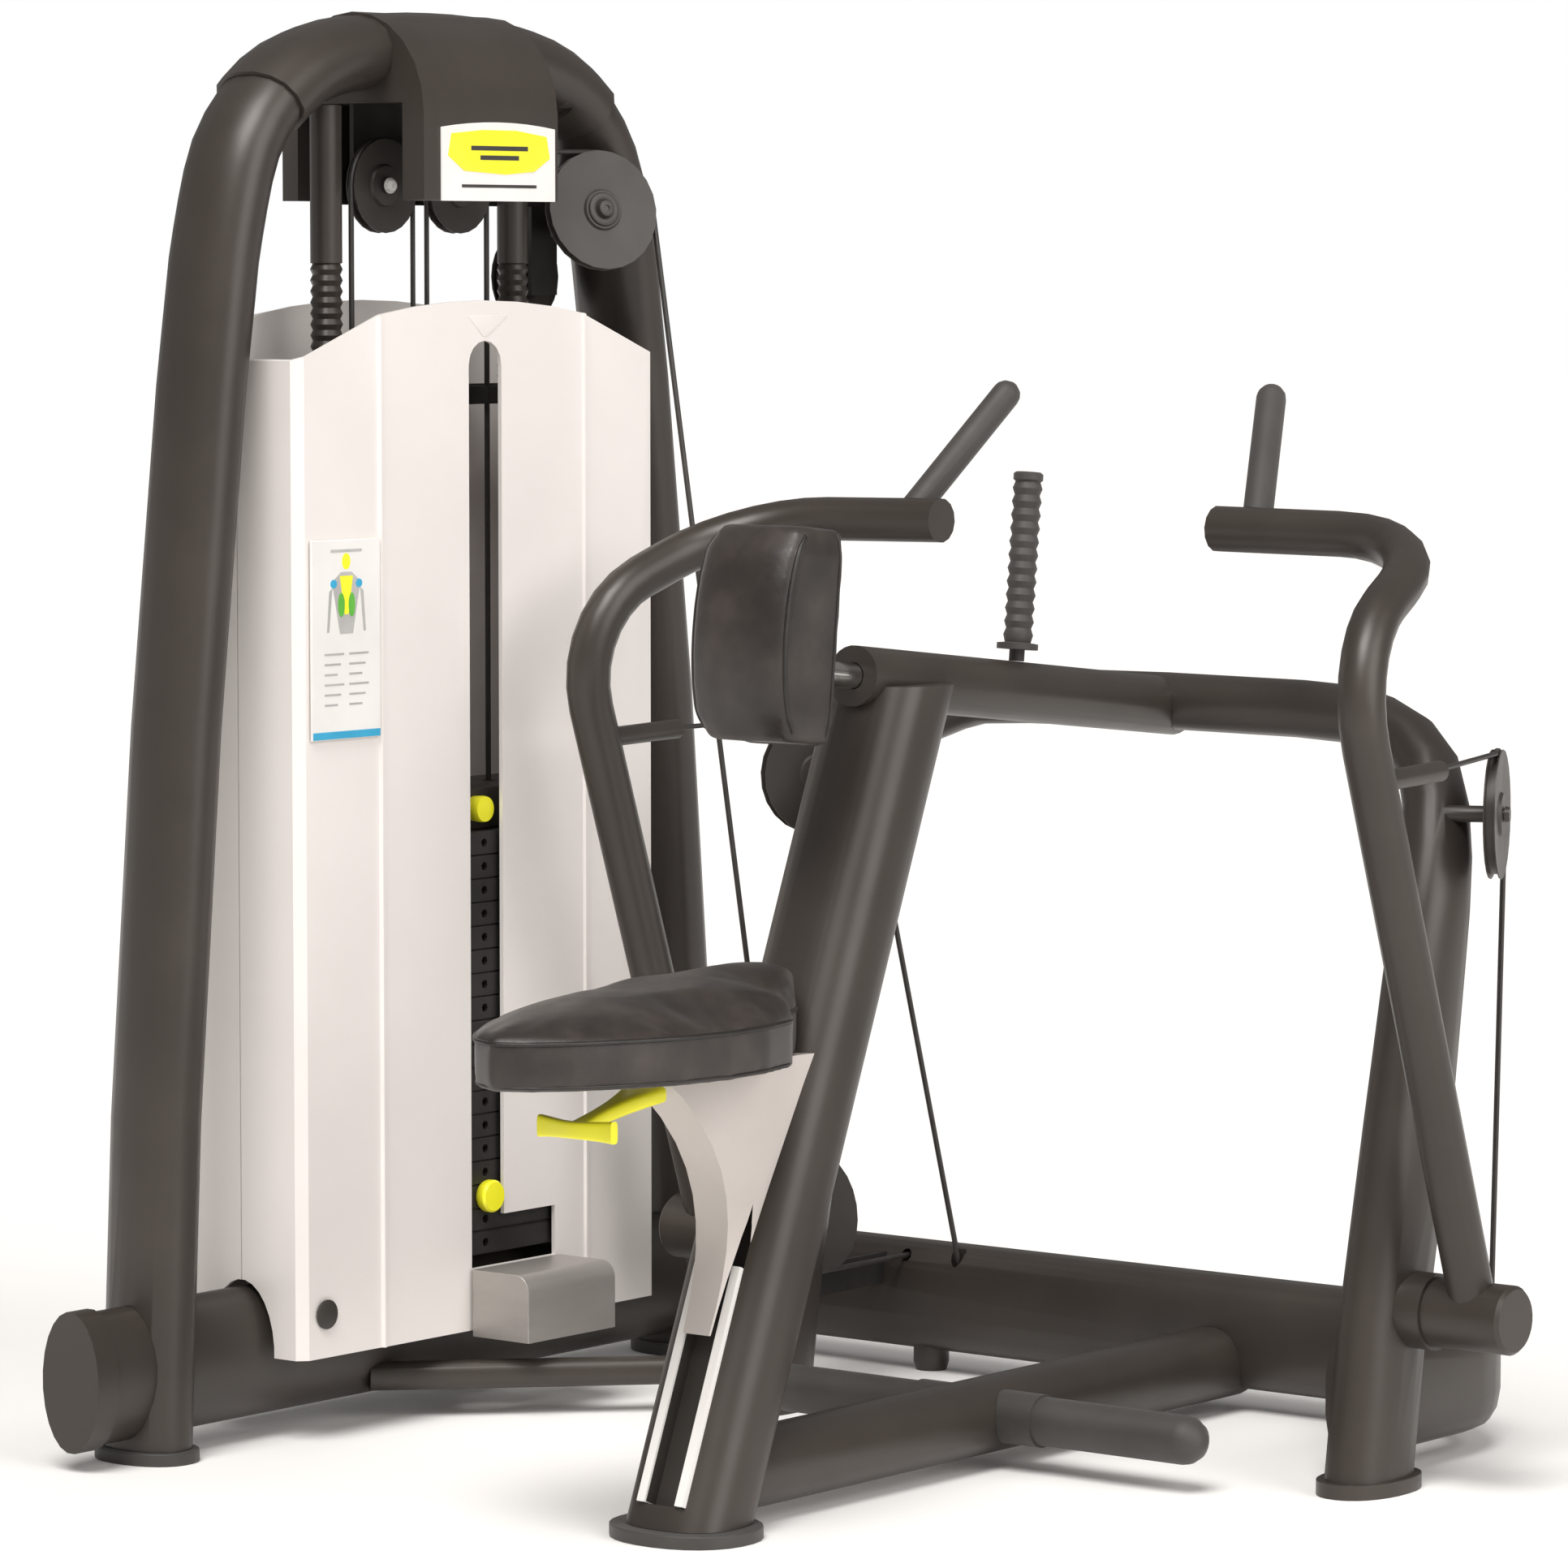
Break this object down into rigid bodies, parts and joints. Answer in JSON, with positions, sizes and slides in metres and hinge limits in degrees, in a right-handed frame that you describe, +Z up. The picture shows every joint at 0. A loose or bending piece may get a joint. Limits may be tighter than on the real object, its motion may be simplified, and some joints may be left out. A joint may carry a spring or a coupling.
{
  "type": "seated row machine",
  "caption": "Seated row machine: shrouded weight-stack tower, saddle seat with chest pad, two pulling levers, cable pulleys and low foot rests.",
  "frame": {"origin": "on the floor under the middle of the machine's bounding box", "axes": "+X to the user's right, +Y the way the seated user faces, +Z up"},
  "size_m": [1.336, 1.248, 1.4923],
  "materials": {
    "frame_paint": "dark warm grey satin paint",
    "shroud_sheet": "pale warm silver satin paint",
    "black_plastic": "matte",
    "black_iron": "black stove finish",
    "leather": "dark brown-black leathercloth, stitched and piped",
    "yellow_plastic": "satin gloss",
    "white_plastic": "satin",
    "steel": "bright",
    "rubber": "matte",
    "cable_black": "matte sheath over steel rope"
  },
  "bodies": {
    "frame": {"tower_arch": "frame_paint", "base_tube": "frame_paint", "tower_foot_near": "rubber", "tower_foot_far": "rubber", "crown_cover": "frame_paint", "badge_plate": "white_plastic", "front_shroud": "shroud_sheet", "rear_shroud": "shroud_sheet", "placard": "white_plastic", "shroud_plug": "black_plastic", "step_block": "shroud_sheet", "guide_rod_near": "frame_paint", "guide_rod_far": "frame_paint", "stop_bar": "black_iron", "resting_plate_1": "black_iron", "resting_plate_2": "black_iron", "pulley_bracket": "black_iron", "lower_bracket": "black_iron", "post_foot": "rubber", "seat_post": "frame_paint", "seat_rails": "white_plastic", "pad_tube": "frame_paint", "fixed_grip": "rubber", "front_arch": "frame_paint", "cross_beam": "frame_paint", "floor_tube": "frame_paint", "foot_peg_left": "rubber", "foot_peg_right": "rubber", "brace_bar": "frame_paint", "tower_cable": "cable_black", "lift_cable_near": "cable_black", "lift_cable_far": "cable_black", "tail_cable_near": "cable_black", "tail_cable_far": "cable_black", "pull_cable_left": "cable_black", "pull_cable_right": "cable_black", "guide_cable_left": "cable_black", "guide_cable_right": "cable_black"},
    "stack": {"lifted_plates": "black_iron", "carriage": "black_plastic", "carriage_knob": "yellow_plastic", "selector_rod": "steel"},
    "selector": {"selector_pin": "yellow_plastic"},
    "right_lever": {"lever_right": "frame_paint", "lever_grip_right": "rubber"},
    "left_lever": {"lever_left": "frame_paint", "lever_grip_left": "rubber"},
    "seat": {"seat_bracket": "shroud_sheet", "seat_cushion": "leather"},
    "seat_handle": {"seat_lever": "yellow_plastic"},
    "chest_support": {"pad_rod": "steel", "chest_pad": "leather"},
    "near_top_wheel": {"top_pulley_near": "black_plastic"},
    "far_top_wheel": {"top_pulley_far": "black_plastic"},
    "corner_wheel": {"corner_pulley": "black_plastic"},
    "rear_wheel": {"rear_pulley": "black_plastic"},
    "lower_wheel": {"lower_pulley": "black_plastic"},
    "left_lever_wheel": {"lever_pulley_left": "black_plastic"},
    "right_lever_wheel": {"lever_pulley_right": "black_plastic"}
  },
  "joints": [
    {"name": "stack_slide", "type": "slide", "parent": "frame", "child": "stack", "axis": [0, 0, 1], "range_m": [0, 0.25], "deforming": ["lift_cable_near", "lift_cable_far"]},
    {"name": "lever_right_swing", "type": "hinge", "parent": "frame", "child": "right_lever", "pos_m": [0.621, 0.308, 0.182], "axis": [1, 0, 0], "range_deg": [0, 35], "deforming": ["pull_cable_right"]},
    {"name": "lever_left_swing", "type": "hinge", "parent": "frame", "child": "left_lever", "pos_m": [-0.357, 0.308, 0.182], "axis": [1, 0, 0], "range_deg": [0, 35], "deforming": ["pull_cable_left"]},
    {"name": "selector_pull", "type": "slide", "parent": "stack", "child": "selector", "axis": [1, 0, 0], "range_m": [0, 0.09]},
    {"name": "seat_height", "type": "slide", "parent": "frame", "child": "seat", "axis": [0, 0.3742, 0.9274], "range_m": [-0.06, 0.08]},
    {"name": "seat_handle_lift", "type": "hinge", "parent": "seat", "child": "seat_handle", "pos_m": [0.132, -0.412, 0.444], "axis": [-1, 0, 0], "range_deg": [0, 10], "stiffness_Nm_per_rad": 1},
    {"name": "chest_reach", "type": "slide", "parent": "frame", "child": "chest_support", "axis": [0, 0.9944, -0.1054], "range_m": [-0.05, 0.05]},
    {"name": "near_top_spin", "type": "hinge", "parent": "frame", "child": "near_top_wheel", "pos_m": [-0.568, 0.017, 1.309], "axis": [1, 0, 0], "range_deg": [0, 300]},
    {"name": "far_top_spin", "type": "hinge", "parent": "frame", "child": "far_top_wheel", "pos_m": [-0.568, 0.137, 1.309], "axis": [1, 0, 0], "range_deg": [-300, 0]},
    {"name": "corner_spin", "type": "hinge", "parent": "frame", "child": "corner_wheel", "pos_m": [-0.51, 0.309, 1.2845], "axis": [0.9129, -0.3693, 0.1739], "range_deg": [-230, 0]},
    {"name": "lower_spin", "type": "hinge", "parent": "frame", "child": "lower_wheel", "pos_m": [-0.2945, 0.414, 0.193], "axis": [0.9823, 0, 0.1871], "range_deg": [0, 230]},
    {"name": "lever_pulley_right_spin", "type": "hinge", "parent": "frame", "child": "right_lever_wheel", "pos_m": [0.567, 0.426, 0.673], "axis": [0.9063, 0.4226, 0], "range_deg": [0, 290]},
    {"name": "lever_pulley_left_spin", "type": "hinge", "parent": "frame", "child": "left_lever_wheel", "pos_m": [-0.303, 0.426, 0.673], "axis": [-0.9063, 0.4226, 0], "range_deg": [-290, 0]},
    {"name": "rear_spin", "type": "hinge", "parent": "frame", "child": "rear_wheel", "pos_m": [-0.63, 0.322, 1.2125], "axis": [1, 0, 0], "range_deg": [-180, 180]}
  ],
  "couplings": [
    {"joint": "lever_right_swing", "follows": "stack_slide", "rad_per_m": 2.44},
    {"joint": "lever_left_swing", "follows": "stack_slide", "rad_per_m": 2.44},
    {"joint": "near_top_spin", "follows": "stack_slide", "rad_per_m": 20.49},
    {"joint": "far_top_spin", "follows": "stack_slide", "rad_per_m": -20.49},
    {"joint": "corner_spin", "follows": "stack_slide", "rad_per_m": -15.55},
    {"joint": "lower_spin", "follows": "stack_slide", "rad_per_m": 15.55},
    {"joint": "lever_pulley_right_spin", "follows": "stack_slide", "rad_per_m": 19.9},
    {"joint": "lever_pulley_left_spin", "follows": "stack_slide", "rad_per_m": -19.9}
  ]
}
